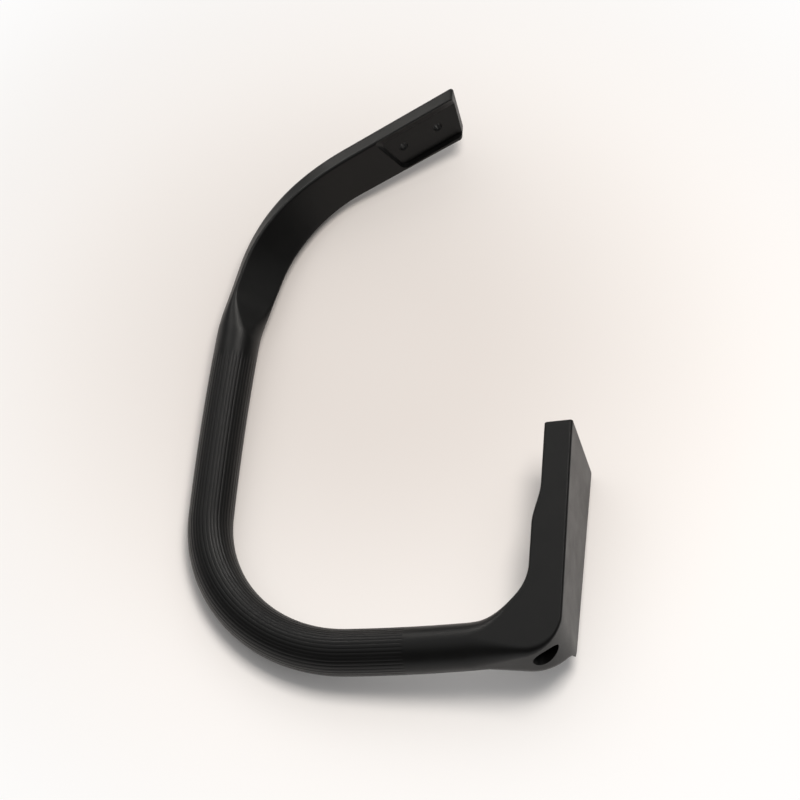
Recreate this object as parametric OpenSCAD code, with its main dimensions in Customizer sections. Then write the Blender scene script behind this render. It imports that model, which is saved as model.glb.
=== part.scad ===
// Auxiliary handle: an open loop moulded in one piece. A flat arm with a screw seat runs through the
// upper bend into a round grip, round the lower bend into a cross bar, and ends in a deep flat foot.
// The loop is drawn level, with the foot's outer face near x = 0, the cross bar's axis at y = 0 and the
// flat top at z = 0. It is then tilted to lie on its lower bend and on the end of the foot, with the
// middle of its footprint at the origin.

/* [Bar] */
// Diameter of the round bar
bar_d = 24.8; // [22:0.1:30]
// Length of the cross bar, from the foot's inner fillet to the lower bend
cross_len = 70; // [20:1:90]
// Turn of the slightly bowed cross bar, in degrees
cross_turn = 4.5; // [0:0.1:8]
// Radius of the lower bend, at the middle of the bar
lower_r = 85.7; // [60:0.1:120]
// Turn of the lower bend, in degrees
lower_turn = 88.3; // [80:0.1:100]
// Length of the side bar
side_len = 112.2; // [60:0.1:160]
// Turn of the slightly bowed side bar, in degrees
side_turn = 3.8; // [0:0.1:8]

/* [Upper bend] */
// Radius of the shoulder where the grip ends, at the middle of the bar
shoulder_r = 100; // [60:1:200]
// Turn of the shoulder, in degrees
shoulder_turn = 8.9; // [0:0.1:30]
// Straight length between the shoulder and the upper bend
neck_len = 31.1; // [0:0.1:60]
// Radius of the upper bend, at the middle of the bar
upper_r = 107.5; // [80:0.1:160]
// Turn of the upper bend, in degrees
upper_turn = 46.1; // [30:0.1:60]
// How far past the side bar's end the round begins to sink to the flat
flat_start = -3.7; // [-20:0.1:30]
// Length of the hollow slope from the round to the flat
flat_slope = 33; // [10:0.1:50]
// Height of the flat above the middle of the bar, where it starts
flat_height = 5.5; // [1:0.1:9]
// Angle of the flat above the loop's plane where it starts, in degrees
flat_angle = 50; // [30:0.5:80]

// Distance from the end of the flat's twist to the straight arm
twist_end = 3; // [0:0.1:30]

/* [Arm] */
// Straight length of the arm
arm_len = 71; // [55:0.1:90]
// Width of the arm where the twist ends
root_w = 29.2; // [22:0.1:40]
// Width of the arm at its end
arm_w = 31; // [24:0.5:40]
// Thickness of the arm at its end
arm_t = 10.7; // [8:0.1:15]
// Angle of the arm's inner face above the loop's plane, in degrees
arm_angle = 11.5; // [0:0.5:20]
// Turn of the end cut from square to the cross bar, in degrees
end_cut = 0; // [-15:1:20]
// Radius of the arm's back edges
back_r = 2.5; // [1:0.1:4]

/* [Screw seat] */
// Length of the screw seat, along its lower edge
seat_len = 40.5; // [38:0.5:48]
// Lean of the seat's closed end, in degrees
seat_lean = 20; // [0:1:30]
// Height of the lip left below the seat
seat_lip = 5; // [2:0.5:7]
// Tilt of the seat's floor into the arm, in degrees
seat_tilt = 6.5; // [3:0.5:8]
// Fall of the seat's floor towards its closed end, in degrees
seat_fall = 1.5; // [0:0.5:2]
// Diameter of the arm's screw holes
screw_d = 5.5; // [4:0.1:6.5]
// Distance between the arm's screw holes
screw_pitch = 23; // [20:0.5:24]
// Distance from the arm's end to the nearer screw hole
screw_end = 15; // [8:0.5:17]

/* [Foot] */
// Length of the foot, from the cross bar's axis
foot_len = 122.2; // [100:0.1:150]
// Thickness of the foot beside the corner
foot_t = 19.2; // [17:0.1:26]
// Thickness of the foot at its end
foot_end_t = 15.4; // [11:0.1:17]
// Where the thin end of the foot starts, from the cross bar's axis
thin_from = 86; // [82:1:95]
// Where the thick part of the foot ends, from the cross bar's axis
thick_to = 62; // [58:1:75]
// Depth of the foot at its end
foot_end_depth = 60; // [45:1:75]
// Depth of the foot beside the cross bar
foot_depth = 44; // [34:1:55]
// Lean of the foot away from the loop, in degrees
foot_lean = 3.8; // [0:0.1:8]
// Radius of the foot's outer corner
corner_r = 20.5; // [14:0.5:30]
// Radius of the fillet inside the corner
fillet_r = 26.4; // [22:0.1:45]
// Radius of the moulding's long edges
edge_r = 1.5; // [0.8:0.1:2.5]

/* [Foot screw] */
// Diameter of the hole that takes the screw's head
head_d = 12.5; // [10:0.1:14]
// Diameter of the clearance bore for the screw
bore_d = 6.5; // [5:0.1:8]
// Where the head's seat lies, from the cross bar's axis
head_seat = 58; // [20:1:70]

/* [Hidden] */

// Steps round each corner of a section
corner_steps = 8;
// Angles between the rings of the lower bend and of the corner, in degrees
lower_step_angle = 6;
corner_step_angle = 5;
// Distance between the rings of the strap
strap_step = 7;
// Angles round the corner at which the foot's underside rises to the bar's
rise_from_angle = 38;
rise_to_angle = 47;
// Angles round the corner over which the foot's edges soften to the round
soften_from_angle = 40;
soften_to_angle = 100;
// Overrun of every cut past the surface that it opens
over = 1;

bar_r = bar_d / 2;
mid_z = -bar_r;
pivot = [-foot_t - fillet_r, bar_r + fillet_r];
lean = tan(foot_lean);
lower_len = lower_r * lower_turn * PI / 180;
// The path from the foot's corner to the arm's end: the length and the turn of each straight, bow or bend
path = [
    [cross_len, cross_turn],
    [lower_len, lower_turn],
    [side_len, side_turn],
    [shoulder_r * shoulder_turn * PI / 180, shoulder_turn],
    [neck_len, 0],
    [upper_r * upper_turn * PI / 180, upper_turn],
    [arm_len, 0]
];
path_len = [for (p = path) 1] * [for (p = path) p[0]];
path_start = [pivot.x, 0, 180];
side_from = cross_len + lower_len;
sink_from = side_from + side_len + flat_start;
flat_from = sink_from + flat_slope;
twist_to = path_len - arm_len - twist_end;
arm_place = place_at(path_len);
arm_end = [arm_place.x, arm_place.y];
arm_heading = arm_place.z;

// A place on the path is its x, its y and its heading
function step_on(place, length, turn) =
    let (h = place.z, half = turn / 2, chord = turn == 0 ? length : length * sin(half) / (half * PI / 180))
    [place.x + chord * cos(h - half), place.y + chord * sin(h - half), h - turn];
function place_at(s, k = 0, place = path_start) =
    s <= path[k][0] || k == len(path) - 1 ?
        step_on(place, s, path[k][1] * s / path[k][0]) :
        place_at(s - path[k][0], k + 1, step_on(place, path[k][0], path[k][1]));
function along(heading) = [cos(heading), sin(heading)];
function right_of(heading) = [sin(heading), -cos(heading)];
function mix(a, b, t) = a + (b - a) * t;
function part_way(v, from, to) = max(0, min(1, (v - from) / (to - from)));
function ease(t) = t * t * (3 - 2 * t);

// A section: a block with rounded corners, in inward and upward steps from the middle of the bar.
// Its front is flat, and it is turned up by an angle so that the front faces upward.
function corner(n, u, r, from) =
    [for (i = [0:corner_steps]) [n, u] + r * along(from + 90 * i / corner_steps)];
// The radii go round from the front's upper corner over the back to the front's lower corner.
function block(w, front, back, r) = concat(
    corner(front - r[0], w / 2 - r[0], r[0], 0),
    corner(r[1] - back, w / 2 - r[1], r[1], 90),
    corner(r[2] - back, r[2] - w / 2, r[2], 180),
    corner(front - r[3], r[3] - w / 2, r[3], 270)
);
function ring(at, inward, z, turn_up, section) = [
    for (p = section)
        let (n = p.x * cos(turn_up) - p.y * sin(turn_up), u = p.x * sin(turn_up) + p.y * cos(turn_up))
        [at.x + n * inward.x, at.y + n * inward.y, z + u]
];

// The foot: a flat block that is thin at its end and grows deeper towards it
function foot_depth_at(y) = mix(foot_depth, foot_end_depth, max(0, y) / foot_len);
function foot_t_at(y) = mix(foot_t, foot_end_t, ease(part_way(y, thick_to, thin_from)));
function leaning(points) = [for (p = points) [p.x + lean * max(0, p.y), p.y, p.z]];
function foot_ring(y) =
    let (
        t = foot_t_at(y),
        depth = foot_depth_at(y),
        section = block(depth, t / 2, t / 2, [edge_r, edge_r, edge_r, edge_r])
    )
    leaning(ring([-t / 2, y], [-1, 0], -depth / 2, 0, section));
foot_stations = concat([foot_len], [for (i = [0:6]) mix(thin_from, thick_to, i / 6)]);
foot_rings = [for (y = foot_stations) foot_ring(y)];

// The corner: rings that fan out from the fillet's centre to the rounded outer outline
function outline_reach(a, b, r, turn) =
    let (u = [cos(turn), sin(turn)], c = [a - r, b - r], q = c * u)
    a * u.y <= c.y * u.x ? a / u.x :
    b * u.x <= c.x * u.y ? b / u.y :
    q + sqrt(r * r - c * c + q * q);
function corner_ring(turn) =
    let (
        out = [cos(turn), -sin(turn)],
        reach = outline_reach(-pivot.x, pivot.y + bar_r, corner_r, turn),
        thick = reach - fillet_r,
        deep = foot_depth_at(pivot.y + reach * out.y),
        rise = ease(part_way(turn, rise_from_angle, rise_to_angle)),
        depth = mix(deep, bar_d, rise),
        most = min(thick, depth) / 2,
        top_r = min(most, mix(edge_r, bar_r, ease(part_way(turn, soften_from_angle, soften_to_angle)))),
        low_r = min(most, mix(edge_r, bar_r, rise)),
        section = block(depth, thick / 2, thick / 2, [top_r, top_r, low_r, low_r])
    )
    leaning(ring(pivot + (fillet_r + thick / 2) * out, -out, -depth / 2, 0, section));
corner_rings = [for (turn = [0:corner_step_angle:90]) corner_ring(turn)];

// The bar: round along the cross bar, lower bend and side bar. Past the side bar it becomes a strap: the
// round sinks to a flat, which turns to face the loop as the bar thins to the arm.
function twist_at(s) = part_way(s, flat_from, twist_to);
function strap_w(s) = mix(mix(bar_d, root_w, twist_at(s)), arm_w, part_way(s, twist_to, path_len));
function strap_section(s) =
    let (
        sink = ease(part_way(s, sink_from, flat_from)),
        t = ease(twist_at(s)),
        front = mix(mix(bar_r, flat_height, sink), arm_t / 2, t),
        back = mix(bar_r, arm_t / 2, t),
        front_r = min(mix(bar_r, edge_r, sink), (front + back) / 2),
        rear_r = min(mix(bar_r, back_r, t), front + back - front_r)
    )
    block(strap_w(s), front, back, [front_r, rear_r, rear_r, front_r]);
function strap_turn(s) =
    mix(flat_angle, arm_angle, ease(twist_at(s)))
    * part_way(s, sink_from - flat_slope / 2, sink_from + flat_slope / 4);
function strap_z(s) = mid_z - (strap_w(s) - bar_d) / 2;
function strap_ring(s) =
    let (place = place_at(s))
    ring(place, right_of(place.z), strap_z(s), strap_turn(s), strap_section(s));
lower_count = ceil(lower_turn / lower_step_angle);
strap_from = sink_from - flat_slope / 2;
strap_count = ceil((path_len - strap_from) / strap_step);
stations = concat(
    [for (i = [1:3]) cross_len * i / 4],
    [for (i = [0:lower_count - 1]) cross_len + lower_len * i / lower_count],
    [for (i = [0:3]) mix(side_from, strap_from, i / 4)],
    [for (i = [0:strap_count - 1]) mix(strap_from, path_len, i / strap_count)]
);
strap_rings = [for (s = stations) strap_ring(s)];

// The arm's end is cut off along a plane that stands nearly square to the cross bar
end_normal = along(end_cut);
function onto_end(p) =
    let (step = (arm_end - [p.x, p.y]) * end_normal / cos(arm_heading - end_cut) * along(arm_heading))
    [p.x + step.x, p.y + step.y, p.z];
end_ring = [for (p = strap_ring(path_len)) onto_end(p)];

rings = concat(foot_rings, corner_rings, strap_rings, [end_ring]);

// The loop lies on the underside of the lower bend and on the inner edge of the foot's end
bend_rest = [min([for (r = strap_rings, p = r) p.x]) + bar_r, mid_z];
foot_rest = [lean * foot_len - foot_end_t + edge_r, edge_r - foot_end_depth];
rest_span = foot_rest - bend_rest;
rest_tilt = atan2(-rest_span.y, rest_span.x) - asin((bar_r - edge_r) / norm(rest_span));
function tilted(p) = [
    p.x * cos(rest_tilt) - p.z * sin(rest_tilt),
    p.y,
    p.x * sin(rest_tilt) + p.z * cos(rest_tilt)
];
tilted_points = [for (r = rings, p = r) tilted(p)];
low = [for (k = [0:2]) min([for (p = tilted_points) p[k]])];
high = [for (k = [0:2]) max([for (p = tilted_points) p[k]])];

// Lays its children on the table, tilted to rest
module as_laid() {
    translate([-(low.x + high.x) / 2, -(low.y + high.y) / 2, -low.z])
        rotate([0, -rest_tilt, 0])
            children();
}

module loft(rings) {
    n = len(rings[0]);
    last = len(rings) - 1;
    sides = [
        for (k = [0:last - 1], i = [0:n - 1])
            let (a = k * n + i, b = k * n + (i + 1) % n)
            each [[a, b, b + n], [a, b + n, a + n]]
    ];
    start_cap = [[for (i = [n - 1:-1:0]) i]];
    end_cap = [[for (i = [0:n - 1]) last * n + i]];
    polyhedron([for (r = rings) each r], concat(sides, start_cap, end_cap));
}

// Places its children on the middle of the arm's inner face, at its end: x along the arm, z out of the face
module on_arm_face() {
    translate([arm_end.x, arm_end.y, strap_z(path_len)])
        rotate([0, 0, arm_heading])
            rotate([90 - arm_angle, 0, 0])
                translate([0, 0, arm_t / 2])
                    children();
}

// The screw seat: a wedge that is flush with the arm's upper edge at its end, and deepest at the lip and
// the closed end
module screw_seat() {
    lip = seat_lip - arm_w;
    top = seat_lip + over;
    slant = (top - lip) * tan(seat_lean);
    on_arm_face()
        translate([0, arm_w / 2, 0])
            rotate([seat_tilt, -seat_fall, 0])
                linear_extrude(arm_t)
                    polygon([[arm_t, lip], [-seat_len, lip], [-seat_len - slant, top], [arm_t, top]]);
}

module arm_holes() {
    on_arm_face()
        for (i = [0:1])
            translate([-screw_end - i * screw_pitch, 0, -2 * arm_t])
                cylinder(d = screw_d, h = 3 * arm_t, $fn = 48);
}

// The foot's screw hole: wide from the corner to the head's seat, then a clearance bore that comes out
// in the middle of the foot's end
hole_lean = atan(lean + (foot_t - foot_end_t) / 2 / foot_len);
module foot_hole() {
    translate([-foot_t / 2, 0, mid_z])
        rotate([-90, 0, -hole_lean]) {
            translate([0, 0, -corner_r - bar_r])
                cylinder(d = head_d, h = corner_r + bar_r + head_seat / cos(hole_lean), $fn = 64);
            cylinder(d = bore_d, h = foot_len / cos(hole_lean) + over * 2, $fn = 48);
        }
}

module auxiliary_handle() {
    color("#26262a")
        as_laid()
            difference() {
                loft(rings);
                screw_seat();
                arm_holes();
                foot_hole();
            }
}

auxiliary_handle();
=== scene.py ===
import math

import bpy
import numpy as np
from mathutils import Matrix, Vector


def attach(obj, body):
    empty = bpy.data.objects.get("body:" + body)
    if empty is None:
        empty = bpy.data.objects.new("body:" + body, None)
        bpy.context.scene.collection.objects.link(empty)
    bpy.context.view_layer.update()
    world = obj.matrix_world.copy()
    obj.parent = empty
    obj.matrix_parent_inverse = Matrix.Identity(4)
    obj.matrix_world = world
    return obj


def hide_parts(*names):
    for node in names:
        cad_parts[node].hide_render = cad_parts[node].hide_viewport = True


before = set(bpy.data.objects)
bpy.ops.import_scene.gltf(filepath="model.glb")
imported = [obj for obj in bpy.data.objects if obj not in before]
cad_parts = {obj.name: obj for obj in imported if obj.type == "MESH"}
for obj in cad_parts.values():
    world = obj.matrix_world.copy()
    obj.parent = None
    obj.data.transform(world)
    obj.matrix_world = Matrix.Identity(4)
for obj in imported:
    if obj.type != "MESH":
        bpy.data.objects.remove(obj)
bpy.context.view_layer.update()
scene = bpy.context.scene


# The handle: one black moulding of glass-filled nylon with no joint. A flat arm with a screw seat runs
# through the upper bend into a round ribbed grip, round the lower bend into a plain cross bar, and ends
# in a deep flat foot. It is drawn level in millimetres, then tilted to lie on its bend and its foot.

millimetre = 0.001

# The path along the middle of the bar, from the foot's corner to the arm's end: each straight, bow or
# bend has a length and a turn in degrees
bar_d = 24.8
foot_t = 19.2
fillet_r = 26.4
lower_r, lower_turn = 85.7, 88.3
shoulder_r, shoulder_turn = 100.0, 8.9
upper_r, upper_turn = 107.5, 46.1
cross_len, side_len, neck_len, arm_len = 70.0, 112.2, 31.1, 71.0
cross_turn, side_turn = 4.5, 3.8

bar_r = bar_d / 2
mid_z = -bar_r
pivot = np.array([-foot_t - fillet_r, bar_r + fillet_r])
lower_len = lower_r * math.radians(lower_turn)
path = [
    (cross_len, cross_turn),
    (lower_len, lower_turn),
    (side_len, side_turn),
    (shoulder_r * math.radians(shoulder_turn), shoulder_turn),
    (neck_len, 0.0),
    (upper_r * math.radians(upper_turn), upper_turn),
    (arm_len, 0.0),
]
path_len = sum(length for length, turn in path)
side_end = cross_len + lower_len + side_len


def along(degrees):
    return np.array([math.cos(math.radians(degrees)), math.sin(math.radians(degrees))])


def place_at(s):
    """The point on the path after a run of s, and the heading there in degrees."""
    point, heading = np.array([pivot[0], 0.0]), 180.0
    for length, turn in path:
        run = min(s, length)
        half = turn * run / length / 2
        chord = run * math.sin(math.radians(half)) / math.radians(half) if half else run
        point = point + chord * along(heading - half)
        heading -= 2 * half
        s -= run
        if s <= 0:
            break
    return point, heading


def mix(a, b, t):
    return a + (b - a) * t


def part_way(value, start, end):
    return min(1.0, max(0.0, (value - start) / (end - start)))


def ease(t):
    return t * t * (3 - 2 * t)


# The section is a block with rounded corners, in inward and upward steps from the middle of the bar. Its
# points are closer together round the corners, and there are eight of them to each rib of the grip.
rib_count = 34
points_per_rib = 8
ring_points = rib_count * points_per_rib
corner_weight = 3.0
arc_steps = 24


def section(width, front, back, radii):
    """Points round a rounded block, from the middle of its front over its upper edge."""
    half = width / 2
    r0, r1, r2, r3 = radii
    middles = [
        np.array([front, (r3 - r0) / 2]),
        np.array([(front - r0 + r1 - back) / 2, half]),
        np.array([-back, (r2 - r1) / 2]),
        np.array([(front - r3 + r2 - back) / 2, -half]),
    ]
    tips = [np.array(p) for p in ((front, half), (-back, half), (-back, -half), (front, -half))]
    steps = [np.array(p) for p in ((0, 1), (-1, 0), (0, -1), (1, 0))]
    points = []
    for k in range(4):
        start, tip, end, radius = middles[k], tips[k], middles[(k + 1) % 4], radii[k]
        into, out = steps[k], steps[(k + 1) % 4]
        centre = tip - radius * into + radius * out
        angles = np.linspace(0, math.pi / 2, arc_steps + 1)
        arc = [centre + radius * (math.sin(a) * into - math.cos(a) * out) for a in angles]
        line = np.array([start, *arc, end])
        lengths = np.linalg.norm(np.diff(line, axis=0), axis=1)
        lengths[1:-1] *= corner_weight
        runs = np.concatenate([[0], np.cumsum(lengths)])
        wanted = np.arange(ring_points // 4) / (ring_points // 4) * runs[-1]
        points.append(np.stack([np.interp(wanted, runs, line[:, i]) for i in range(2)], axis=1))
    return np.concatenate(points)


def ring(at, inward, z, turn_up, points):
    """A section set across the path, turned up by an angle in degrees."""
    c, s = along(turn_up)
    n = points[:, 0] * c - points[:, 1] * s
    u = points[:, 0] * s + points[:, 1] * c
    return np.stack([at[0] + n * inward[0], at[1] + n * inward[1], z + u], axis=1)


# The foot is thin at its end, grows deeper towards it and leans away from the loop
foot_len, foot_end_t = 122.2, 15.4
thin_from, thick_to = 86.0, 62.0
foot_end_depth, foot_depth = 60.0, 44.0
foot_lean = 3.8
lean = math.tan(math.radians(foot_lean))
edge_r = 1.5
end_edge = 0.5
end_rings, thinning_rings, root_rings = 13, 17, 9


def foot_depth_at(y):
    return mix(foot_depth, foot_end_depth, max(0.0, y) / foot_len)


def leaning(points):
    points = points.copy()
    points[:, 0] += lean * np.maximum(points[:, 1], 0)
    return points


def foot_ring(y, inset=0.0):
    t = mix(foot_t, foot_end_t, ease(part_way(y, thick_to, thin_from)))
    depth = foot_depth_at(y)
    half = t / 2 - inset
    points = section(depth - 2 * inset, half, half, [edge_r - inset] * 4)
    return leaning(ring((-t / 2, y), (-1, 0), -depth / 2, 0, points))


foot_rings = [foot_ring(foot_len, end_edge)]
foot_rings += [foot_ring(y) for y in np.linspace(foot_len - end_edge, thin_from, end_rings)]
foot_rings += [foot_ring(y) for y in np.linspace(thin_from, thick_to, thinning_rings)[1:]]
foot_rings += [foot_ring(y) for y in np.linspace(thick_to, pivot[1], root_rings)[1:-1]]

# The corner fans out from the fillet's centre to a rounded outer outline. On the way round, the deep
# underside rises to the bar's, quickly at first, and the sharp edges soften to the round.
corner_r = 20.5
rise_from, rise_to, rise_power = 38.0, 84.0, 0.45
soften_from, soften_to = 40.0, 100.0
corner_ring_count = 61


def outline_reach(turn):
    """Distance from the fillet's centre to the rounded outer outline."""
    a, b = -pivot[0], pivot[1] + bar_r
    u = along(turn)
    c = np.array([a - corner_r, b - corner_r])
    if a * u[1] <= c[1] * u[0]:
        return a / u[0]
    if b * u[0] <= c[0] * u[1]:
        return b / u[1]
    q = c @ u
    return q + math.sqrt(corner_r ** 2 - c @ c + q * q)


def corner_ring(turn):
    out = along(-turn)
    reach = outline_reach(turn)
    thick = reach - fillet_r
    rise = part_way(turn, rise_from, rise_to) ** rise_power
    depth = mix(foot_depth_at(pivot[1] + reach * out[1]), bar_d, rise)
    most = min(thick, depth) / 2
    top_r = min(most, mix(edge_r, bar_r, ease(part_way(turn, soften_from, soften_to))))
    low_r = min(most, mix(edge_r, bar_r, rise))
    points = section(depth, thick / 2, thick / 2, [top_r, top_r, low_r, low_r])
    return leaning(ring(pivot + (fillet_r + thick / 2) * out, -out, -depth / 2, 0, points))


corner_rings = [corner_ring(turn) for turn in np.linspace(0, 90, corner_ring_count)]

# The bar is round along the cross bar, lower bend and side bar. The grip's fine ribs run lengthwise from
# a crisp end on the cross bar to the side bar's end, and their tips are flush with the bar.
rib_depth, rib_power = 0.15, 1.5
rib_from, rib_to = 36.9, 303.0
rib_start_len, rib_fade_len = 0.7, 5.0
rib_phase = np.arange(ring_points) % points_per_rib / points_per_rib
rib_groove = rib_depth * (1 - np.sin(math.pi * rib_phase)) ** rib_power

# Past the side bar the round sinks to a flat, which has its full turn a quarter of the way down. It then
# turns to face the loop as the bar thins to the arm.
flat_start, flat_slope, flat_height, flat_angle = -3.7, 33.0, 5.5, 50.0
twist_end, root_w = 3.0, 29.2
arm_w, arm_t, arm_angle, end_cut, back_r = 31.0, 10.7, 11.5, 0.0, 2.5
arm_end_r, arm_end_step, least_r = 2.2, 15, 0.1
sink_from = side_end + flat_start
flat_from = sink_from + flat_slope
turned_at = sink_from + flat_slope / 4
twist_to = path_len - arm_len - twist_end
cut_reach = 20.0
arm_end, arm_heading = place_at(path_len)


def twist_at(s):
    return part_way(s, flat_from, twist_to)


def strap_w(s):
    return mix(mix(bar_d, root_w, twist_at(s)), arm_w, part_way(s, twist_to, path_len))


def strap_section(s, inset):
    sink = ease(part_way(s, sink_from, flat_from))
    t = ease(twist_at(s))
    front = mix(mix(bar_r, flat_height, sink), arm_t / 2, t)
    back = mix(bar_r, arm_t / 2, t)
    front_r = min(mix(bar_r, edge_r, sink), (front + back) / 2)
    rear_r = min(mix(bar_r, back_r, t), front + back - front_r)
    radii = [max(r - inset, least_r) for r in (front_r, rear_r, rear_r, front_r)]
    return section(strap_w(s) - 2 * inset, front - inset, back - inset, radii)


def strap_turn(s):
    turned = part_way(s, rib_to, turned_at)
    return mix(flat_angle, arm_angle, ease(twist_at(s))) * turned


def strap_z(s):
    return mid_z - (strap_w(s) - bar_d) / 2


def bar_ring(s, inset=0.0):
    point, heading = place_at(s)
    points = strap_section(s, inset)
    ribbed = part_way(s, rib_from, rib_from + rib_start_len) * part_way(-s, -rib_to, rib_fade_len - rib_to)
    if ribbed:
        points = points * (1 - ribbed * rib_groove / bar_r)[:, None]
    points = ring(point, along(heading - 90), strap_z(s), strap_turn(s), points)
    left = path_len - s
    if left < cut_reach:
        # Near its end the arm's rings lean over to the plane of the slanting end cut
        square = (arm_end - points[:, :2]) @ along(end_cut) / math.cos(math.radians(arm_heading - end_cut))
        points[:, :2] += np.outer((square - left) * (1 - left / cut_reach), along(arm_heading))
    return points


def stations(start, end, spacing):
    return list(np.linspace(start, end, max(2, math.ceil((end - start) / spacing) + 1)))[:-1]


# Rings stand closer together where the ribs start and fade
bar_step, rib_start_step, rib_fade_step, strap_step = 3.0, 0.35, 1.0, 2.0
before_ribs, into_ribs = 1.0, 2.0
fade_from, fade_to = rib_to - rib_fade_len - before_ribs, rib_to + before_ribs
bar_stations = (
    stations(0, rib_from - before_ribs, bar_step)[1:]
    + stations(rib_from - before_ribs, rib_from + into_ribs, rib_start_step)
    + stations(rib_from + into_ribs, fade_from, bar_step)
    + stations(fade_from, fade_to, rib_fade_step)
    + stations(fade_to, path_len - arm_end_r, strap_step)
)
bar_rings = [bar_ring(s) for s in bar_stations]
for turn in range(0, 90 + arm_end_step, arm_end_step):
    over, up = along(turn)
    bar_rings.append(bar_ring(path_len - arm_end_r * (1 - up), arm_end_r * (1 - over)))
rings = foot_rings + corner_rings + bar_rings

# The loop lies on the underside of the lower bend and on the inner edge of the foot's end. The middle of
# its footprint is measured to the arm's end before that end is rounded.
level = np.concatenate([*rings, bar_ring(path_len)])
bend_rest = np.array([level[:, 0].min() + bar_r, mid_z])
foot_rest = np.array([lean * foot_len - foot_end_t + edge_r, edge_r - foot_end_depth])
span = foot_rest - bend_rest
rest_tilt = math.atan2(-span[1], span[0]) - math.asin((bar_r - edge_r) / np.linalg.norm(span))
tilt = Matrix.Rotation(-rest_tilt, 4, "Y")
tilted = level @ np.array(tilt.to_3x3()).T
middle = (tilted.min(axis=0) + tilted.max(axis=0)) / 2
laid = (
    Matrix.Scale(millimetre, 4)
    @ Matrix.Translation((-middle[0], -middle[1], -tilted[:, 2].min()))
    @ tilt
)


def lofted(name, rings):
    """A closed mesh through rings of equal count, laid on the table."""
    count, last = len(rings[0]), len(rings) - 1
    faces = [
        (k * count + i, k * count + (i + 1) % count, (k + 1) * count + (i + 1) % count, (k + 1) * count + i)
        for k in range(last)
        for i in range(count)
    ]
    faces.append(tuple(range(count - 1, -1, -1)))
    faces.append(tuple(last * count + i for i in range(count)))
    mesh = bpy.data.meshes.new(name)
    mesh.from_pydata(np.concatenate(rings).tolist(), [], faces)
    mesh.transform(laid)
    piece = bpy.data.objects.new(name, mesh)
    scene.collection.objects.link(piece)
    return piece


handle = lofted("handle", rings)

# The seat for the screws' heads is a shallow step in the arm's inner face. It is open at the arm's end,
# with a low lip along its lower side, a slanting closed end, and a slope up to the arm's upper edge.
seat_len, seat_lean, seat_lip, seat_depth = 43.6, 20.0, 2.7, 3.0
lip_run, closed_run, upper_run, seat_corner_r = 0.25, 1.75, 6.0, 4.0
past_end, above_face = 5.0, 1.0
seat_corner_points = 9
arm_face = (
    Matrix.Translation((arm_end[0], arm_end[1], strap_z(path_len)))
    @ Matrix.Rotation(math.radians(arm_heading), 4, "Z")
    @ Matrix.Rotation(math.radians(90 - arm_angle), 4, "X")
    @ Matrix.Translation((0, 0, arm_t / 2))
)


def seat_outline(height):
    """The seat's outline at a height over the arm's face, with rounded corners."""
    sunk = -height / seat_depth
    low = seat_lip - arm_w / 2 + lip_run * sunk
    high = arm_w / 2 - upper_run * sunk
    closed = closed_run * sunk - seat_len
    corners = np.array([
        (past_end, low),
        (past_end, high),
        (closed - (high - low) * math.tan(math.radians(seat_lean)), high),
        (closed, low),
    ])
    outline = []
    for before, tip, after in zip(np.roll(corners, 1, axis=0), corners, np.roll(corners, -1, axis=0)):
        start, end = (tip + seat_corner_r * (p - tip) / np.linalg.norm(p - tip) for p in (before, after))
        steps = np.linspace(0, 1, seat_corner_points)
        outline += [mix(mix(start, tip, t), mix(tip, end, t), t) for t in steps]
    return outline


# The screw holes are two through the arm, and in the foot a wide hole for the screw's head, then a bore
# that comes out at the foot's end
screw_d, screw_pitch, screw_end = 5.5, 23.0, 15.0
head_d, bore_d, head_seat = 12.5, 6.5, 58.0
past_foot = 2.0
hole_lean = math.atan(lean + (foot_t - foot_end_t) / 2 / foot_len)
foot_axis = (
    Matrix.Translation((-foot_t / 2, 0, mid_z))
    @ Matrix.Rotation(-hole_lean, 4, "Z")
    @ Matrix.Rotation(-math.pi / 2, 4, "X")
)
hole_points = 64


def circle(diameter):
    return [diameter / 2 * along(360 * i / hole_points) for i in range(hole_points)]


def cored(piece, axis, levels):
    """Cuts away what lies between outlines at heights along an axis."""
    rings = [np.array([axis @ Vector((*p, height)) for p in outline]) for outline, height in levels]
    cutter = lofted("core", rings)
    cut = piece.modifiers.new("core", "BOOLEAN")
    cut.operation, cut.solver, cut.object = "DIFFERENCE", "EXACT", cutter
    left = bpy.data.meshes.new_from_object(piece.evaluated_get(bpy.context.evaluated_depsgraph_get()))
    piece.modifiers.clear()
    piece.data = left
    bpy.data.objects.remove(cutter)


cored(handle, arm_face, [(seat_outline(z), z) for z in (-seat_depth, above_face)])
for k in range(2):
    hole_axis = arm_face @ Matrix.Translation((-screw_end - k * screw_pitch, 0, 0))
    cored(handle, hole_axis, [(circle(screw_d), -2 * arm_t), (circle(screw_d), arm_t)])
cored(handle, foot_axis, [
    (circle(head_d), -corner_r - bar_r),
    (circle(head_d), head_seat / math.cos(hole_lean)),
    (circle(bore_d), head_seat / math.cos(hole_lean)),
    (circle(bore_d), foot_len / math.cos(hole_lean) + past_foot),
])
sharp_angle = 22.0
handle.data.name = "handle"
handle.data.shade_smooth()
handle.data.set_sharp_from_angle(angle=math.radians(sharp_angle))


# Moulded glass-filled nylon: near black all through, with a fine matt grain from the mould that breaks up
# its gloss, and faint clouds, paler and less glossy, where the glass comes to the skin
def to_linear(code):
    channels = [int(code[i:i + 2], 16) / 255 for i in (1, 3, 5)]
    return [c / 12.92 if c <= 0.04045 else ((c + 0.055) / 1.055) ** 2.4 for c in channels]


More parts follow.
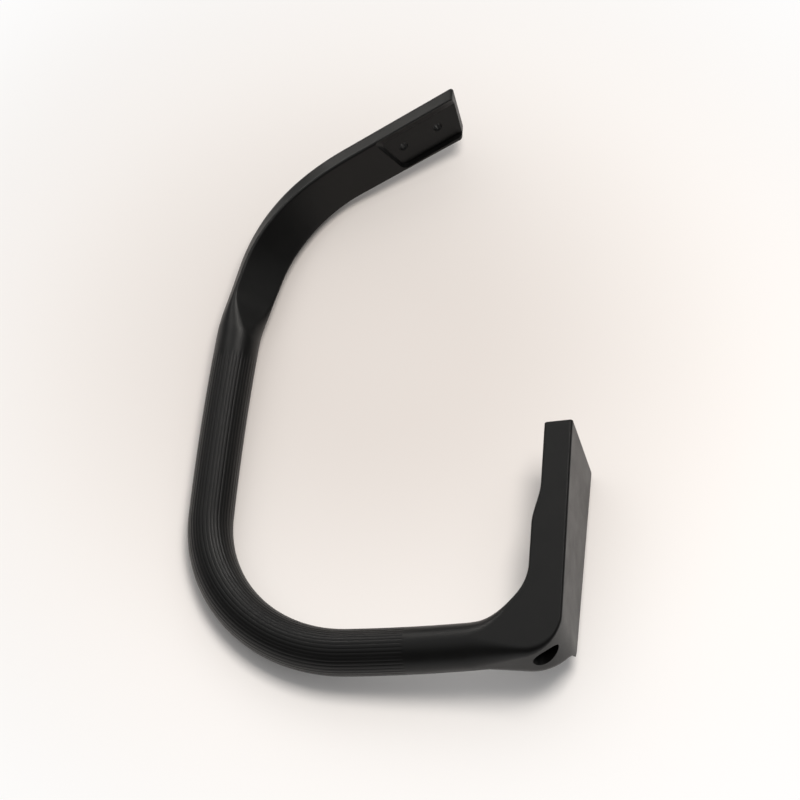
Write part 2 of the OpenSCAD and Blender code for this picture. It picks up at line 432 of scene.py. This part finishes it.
def add_node(tree, kind, inputs=(), **settings):
    """Adds a node with its settings. An input is a value, or another node's output to link."""
    made = tree.nodes.new(kind)
    for name, value in settings.items():
        setattr(made, name, value)
    for name, value in dict(inputs).items():
        if isinstance(value, bpy.types.NodeSocket):
            tree.links.new(value, made.inputs[name])
        else:
            made.inputs[name].default_value = value
    return made


nylon = bpy.data.materials.new("moulded glass-filled nylon")
nylon.use_nodes = True
tree = nylon.node_tree
tree.nodes.clear()
grain_size = 0.45  # mm, coarser than the real grain of about 0.2 mm so that it shows in the render
grain_depth, grain_strength = 0.12, 0.25  # mm, and a share of it
cloud_size = 14.0  # mm
where = add_node(tree, "ShaderNodeTexCoord").outputs["Object"]
grain = add_node(tree, "ShaderNodeTexNoise", {
    "Vector": where, "Scale": 1 / (grain_size * millimetre), "Detail": 2.0, "Roughness": 0.6,
})
clouds = add_node(tree, "ShaderNodeTexNoise", {
    "Vector": where, "Scale": 1 / (cloud_size * millimetre), "Detail": 4.0, "Roughness": 0.6,
})
tone = add_node(tree, "ShaderNodeMix", {
    0: clouds.outputs["Fac"],
    6: [*to_linear("#070707"), 1], 7: [*to_linear("#0c0c0b"), 1],
}, data_type="RGBA")
gloss = add_node(tree, "ShaderNodeMapRange", {
    "Value": clouds.outputs["Fac"], "From Min": 0.3, "From Max": 0.7, "To Min": 0.35, "To Max": 0.43,
})
relief = add_node(tree, "ShaderNodeBump", {
    "Height": grain.outputs["Fac"], "Strength": grain_strength, "Distance": grain_depth * millimetre,
})
skin = add_node(tree, "ShaderNodeBsdfPrincipled", {
    "Base Color": tone.outputs[2], "Roughness": gloss.outputs["Result"], "IOR": 1.53,
    "Specular IOR Level": 0.21, "Normal": relief.outputs["Normal"],
})
add_node(tree, "ShaderNodeOutputMaterial", {"Surface": skin.outputs["BSDF"]})
handle.data.materials.clear()
handle.data.materials.append(nylon)
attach(handle, "root")
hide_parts("auxiliary_handle")


# The floor: a wide sheet of matt white paper that the handle lies on. Its colour carries painted shade, a
# little grey under the handle and going to white further out, and it takes the handle's soft shadow.
floor_half = 6.0
floor_mesh = bpy.data.meshes.new("floor")
floor_mesh.from_pydata(
    [(x * floor_half, y * floor_half, 0) for x, y in ((-1, -1), (1, -1), (1, 1), (-1, 1))], [], [(0, 1, 2, 3)]
)
floor = bpy.data.objects.new("floor", floor_mesh)
scene.collection.objects.link(floor)
paper = bpy.data.materials.new("matt white paper")
paper.use_nodes = True
tree = paper.node_tree
tree.nodes.clear()
# Where the painted shade on the paper is greyest, and how far out it fades to white
painted_shade_middle = Vector((-0.005, 0.03, 0))  # m
painted_shade_reach, white_reach = 0.04, 0.25  # m
bleach_from, bleach_to = 0.16, 0.42  # m
where = add_node(tree, "ShaderNodeTexCoord").outputs["Object"]
away = add_node(tree, "ShaderNodeVectorMath", {0: where, 1: painted_shade_middle}, operation="DISTANCE")
outward = add_node(tree, "ShaderNodeMapRange", {
    "Value": away.outputs["Value"], "From Min": painted_shade_reach, "From Max": white_reach,
}, interpolation_type="SMOOTHSTEP")
# Painted shade: the paper's colour is greyer near the handle and whiter further out
tone = add_node(tree, "ShaderNodeMix", {
    0: outward.outputs["Result"],
    6: [*to_linear("#e4deda"), 1], 7: [*to_linear("#fbf8f6"), 1],
}, data_type="RGBA")
matt = add_node(tree, "ShaderNodeBsdfDiffuse", {"Color": tone.outputs[2]})
light_path = add_node(tree, "ShaderNodeLightPath")
seen = add_node(tree, "ShaderNodeMath", {
    0: light_path.outputs["Is Camera Ray"], 1: light_path.outputs["Is Glossy Ray"],
}, operation="ADD")
seen = add_node(tree, "ShaderNodeMath", {
    0: seen.outputs[0], 1: light_path.outputs["Is Transmission Ray"],
}, operation="ADD")
far_out = add_node(tree, "ShaderNodeMapRange", {
    "Value": away.outputs["Value"], "From Min": bleach_from, "From Max": bleach_to,
}, interpolation_type="SMOOTHSTEP")
bleached = add_node(tree, "ShaderNodeMath", {
    0: seen.outputs[0], 1: far_out.outputs["Result"],
}, operation="MULTIPLY", use_clamp=True)
white = add_node(tree, "ShaderNodeEmission", {"Color": [1, 1, 1, 1], "Strength": 1.0})
surface = add_node(tree, "ShaderNodeMixShader", {
    0: bleached.outputs[0], 1: matt.outputs["BSDF"], 2: white.outputs["Emission"],
})
add_node(tree, "ShaderNodeOutputMaterial", {"Surface": surface.outputs["Shader"]})
floor.data.materials.append(paper)


# The light: a soft box overhead lights the paper and gives the handle its close, soft shadow. Two small
# panels behind show only in the nylon's gloss, and a dim room has a broad glow high up behind the handle.
def direction(azimuth, elevation):
    return Vector((*(along(azimuth) * along(elevation)[0]), along(elevation)[1]))


def add_panel(name, azimuth, elevation, distance, size, radiance):
    """A rectangular soft light aimed at the middle of the floor."""
    light = bpy.data.lights.new(name, "AREA")
    light.shape = "RECTANGLE"
    light.size, light.size_y = size
    light.energy = radiance * math.pi * size[0] * size[1]
    light.color = to_linear("#fffaf4")
    piece = bpy.data.objects.new(name, light)
    piece.location = distance * direction(azimuth, elevation)
    piece.rotation_euler = (-piece.location).to_track_quat("-Z", "Y").to_euler()
    scene.collection.objects.link(piece)
    return piece


soft_box = add_panel("soft box", -30.0, 78.0, 1.2, (0.4, 0.4), 17.5)
soft_box.visible_glossy = False
left_panel = add_panel("left panel", 120.0, 31.0, 1.8, (0.5, 0.35), 9.0)
right_panel = add_panel("right panel", 72.0, 48.0, 1.8, (0.5, 0.4), 16.0)
for panel in (left_panel, right_panel):
    panel.visible_diffuse = False

glow_azimuth, glow_elevation = 103.0, 65.0
glow_edge, glow_full = 0.5, 0.9  # cosines of the angles from its middle
room_tone, glow_tone = 0.13, 0.85
room = bpy.data.worlds.new("room")
room.use_nodes = True
tree = room.node_tree
tree.nodes.clear()
where = add_node(tree, "ShaderNodeTexCoord").outputs["Generated"]
toward_glow = add_node(tree, "ShaderNodeVectorMath", {
    0: where, 1: direction(glow_azimuth, glow_elevation),
}, operation="DOT_PRODUCT")
brightness = add_node(tree, "ShaderNodeMapRange", {
    "Value": toward_glow.outputs["Value"], "From Min": glow_edge, "From Max": glow_full,
    "To Min": room_tone, "To Max": glow_tone,
}, interpolation_type="SMOOTHSTEP")
air = add_node(tree, "ShaderNodeBackground", {
    "Color": [1, 1, 1, 1], "Strength": brightness.outputs["Result"],
})
add_node(tree, "ShaderNodeOutputWorld", {"Surface": air.outputs["Background"]})
scene.world = room
scene.view_settings.view_transform = "Standard"


# The camera: held above the front of the table and turned a little, with a long lens
camera_target = Vector((0.0054, -0.0191, 0.0309))
camera_azimuth, camera_elevation, camera_roll = -83.95, 58.60, 5.87
camera_distance = 1.3736
toward = direction(camera_azimuth, camera_elevation)
camera = bpy.data.cameras.new("camera")
camera.lens, camera.sensor_width = 112.5, 36.0  # mm
camera_piece = bpy.data.objects.new("camera", camera)
roll = Matrix.Rotation(math.radians(-camera_roll), 4, "Z")
camera_piece.matrix_world = (
    Matrix.Translation(camera_target + toward * camera_distance)
    @ toward.to_track_quat("Z", "Y").to_matrix().to_4x4()
    @ roll
)
scene.collection.objects.link(camera_piece)
scene.camera = camera_piece
